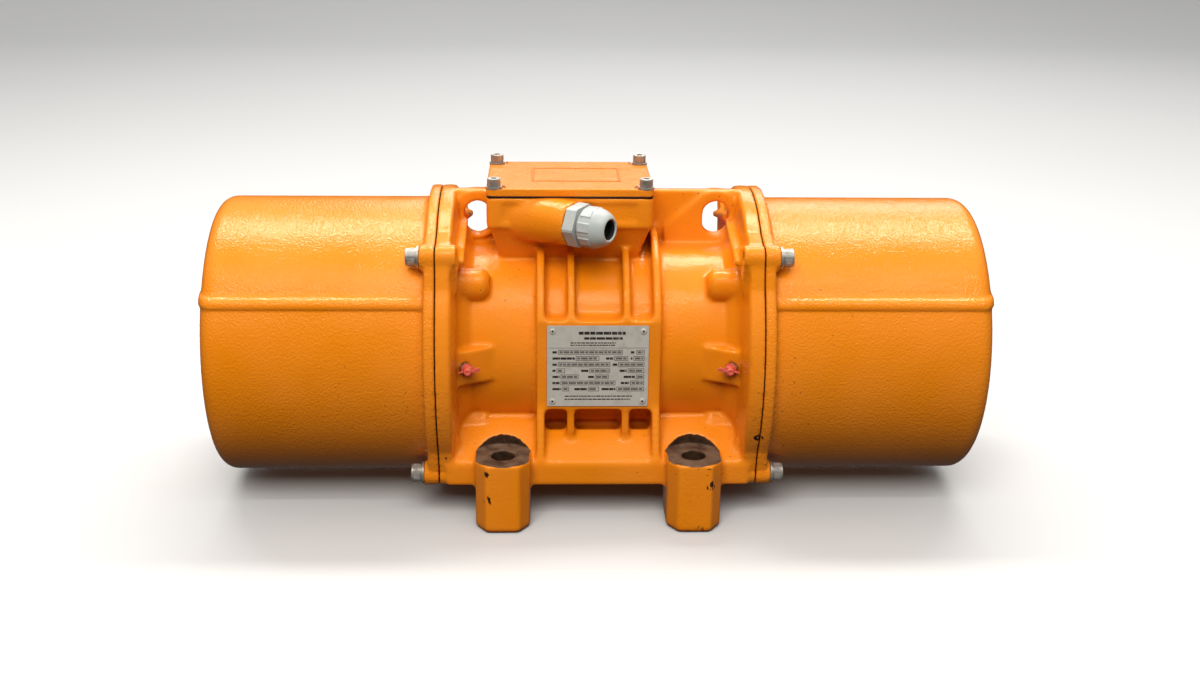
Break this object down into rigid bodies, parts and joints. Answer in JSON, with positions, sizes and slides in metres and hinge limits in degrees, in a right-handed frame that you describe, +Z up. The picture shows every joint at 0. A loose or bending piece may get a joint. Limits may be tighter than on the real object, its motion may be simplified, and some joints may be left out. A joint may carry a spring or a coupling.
{
  "type": "vibration motor",
  "caption": "Foot-mounted rotary electric vibrator: cast body with ribs, feet, lifting eyes and terminal box, and eccentric weights under a cover at each end.",
  "frame": {"origin": "centre of the four foot bolt holes, on the mounting plane under the feet", "axes": "+X along the shaft to the right, +Y away from the nameplate side, +Z up from the mounting plane"},
  "size_m": [0.572, 0.234, 0.2483],
  "materials": {
    "orange_paint": "glossy paint with a slight orange peel over cast metal",
    "zinc_steel": "zinc-plated, dull",
    "gland_plastic": "moulded light grey nylon",
    "black_rubber": "matt",
    "plate_aluminium": "fine brushed sheet",
    "raw_iron": "as cast, machined faces",
    "bearing_steel": "ground",
    "cage_brass": "machined",
    "core_steel": "stacked sheet, varnished",
    "winding_copper": "varnished wire bundles",
    "board_plastic": "moulded thermoset",
    "terminal_brass": "bright",
    "cap_red_rubber": "soft, slightly glossy"
  },
  "bodies": {
    "housing": {"casing": "orange_paint", "lid_gasket": "black_rubber", "terminal_lid": "orange_paint", "lid_screws": "zinc_steel", "lid_washers": "zinc_steel", "terminal_board": "board_plastic", "terminal_studs": "terminal_brass", "terminal_link": "terminal_brass", "terminal_nuts": "terminal_brass", "earth_screw": "zinc_steel", "gland_body": "gland_plastic", "gland_nut": "gland_plastic", "gland_seal": "black_rubber", "nameplate": "plate_aluminium", "nameplate_rivets": "zinc_steel", "stator_core": "core_steel", "stator_winding": "winding_copper", "shield_screws": "zinc_steel", "cap_screws": "zinc_steel", "cover_screws": "zinc_steel", "cover_washers": "zinc_steel", "weight_cover_left": "orange_paint", "weight_cover_right": "orange_paint", "cover_seal_left": "black_rubber", "cover_seal_right": "black_rubber", "bearing_shield_left": "raw_iron", "bearing_shield_right": "raw_iron", "bearing_cap_left": "raw_iron", "bearing_cap_right": "raw_iron", "bearing_outer_ring_left": "bearing_steel", "bearing_outer_ring_right": "bearing_steel", "grease_nipple_left": "zinc_steel", "grease_nipple_right": "zinc_steel", "grease_cap_left": "cap_red_rubber", "grease_cap_right": "cap_red_rubber"},
    "rotor": {"shaft": "bearing_steel", "rotor_core": "core_steel", "bearing_inner_ring_left": "bearing_steel", "bearing_inner_ring_right": "bearing_steel", "shaft_spacer_left": "bearing_steel", "shaft_spacer_right": "bearing_steel", "fixed_weight_left": "raw_iron", "fixed_weight_right": "raw_iron", "weight_key_left": "bearing_steel", "weight_key_right": "bearing_steel", "fixed_clamp_bolt_left": "zinc_steel", "fixed_clamp_bolt_right": "zinc_steel", "scale_disc_left": "bearing_steel", "scale_disc_right": "bearing_steel", "shaft_circlip_left": "bearing_steel", "shaft_circlip_right": "bearing_steel"},
    "left_rollers": {"bearing_rollers_left": "bearing_steel", "bearing_cage_left": "cage_brass"},
    "left_weight": {"adjustable_weight_left": "raw_iron", "adjustable_clamp_bolt_left": "zinc_steel"},
    "right_rollers": {"bearing_rollers_right": "bearing_steel", "bearing_cage_right": "cage_brass"},
    "right_weight": {"adjustable_weight_right": "raw_iron", "adjustable_clamp_bolt_right": "zinc_steel"}
  },
  "joints": [
    {"name": "rotor_spin", "type": "hinge", "parent": "housing", "child": "rotor", "pos_m": [0, 0, 0.117], "axis": [1, 0, 0], "continuous": true},
    {"name": "left_roller_orbit", "type": "hinge", "parent": "housing", "child": "left_rollers", "pos_m": [0, 0, 0.117], "axis": [1, 0, 0], "continuous": true},
    {"name": "right_roller_orbit", "type": "hinge", "parent": "housing", "child": "right_rollers", "pos_m": [0, 0, 0.117], "axis": [1, 0, 0], "continuous": true},
    {"name": "left_weight_adjust", "type": "hinge", "parent": "rotor", "child": "left_weight", "pos_m": [0, 0, 0.117], "axis": [1, 0, 0], "range_deg": [0, 180]},
    {"name": "right_weight_adjust", "type": "hinge", "parent": "rotor", "child": "right_weight", "pos_m": [0, 0, 0.117], "axis": [1, 0, 0], "range_deg": [0, 180]}
  ],
  "couplings": [
    {"joint": "left_roller_orbit", "follows": "rotor_spin", "ratio": 0.40385},
    {"joint": "right_roller_orbit", "follows": "rotor_spin", "ratio": 0.40385}
  ]
}
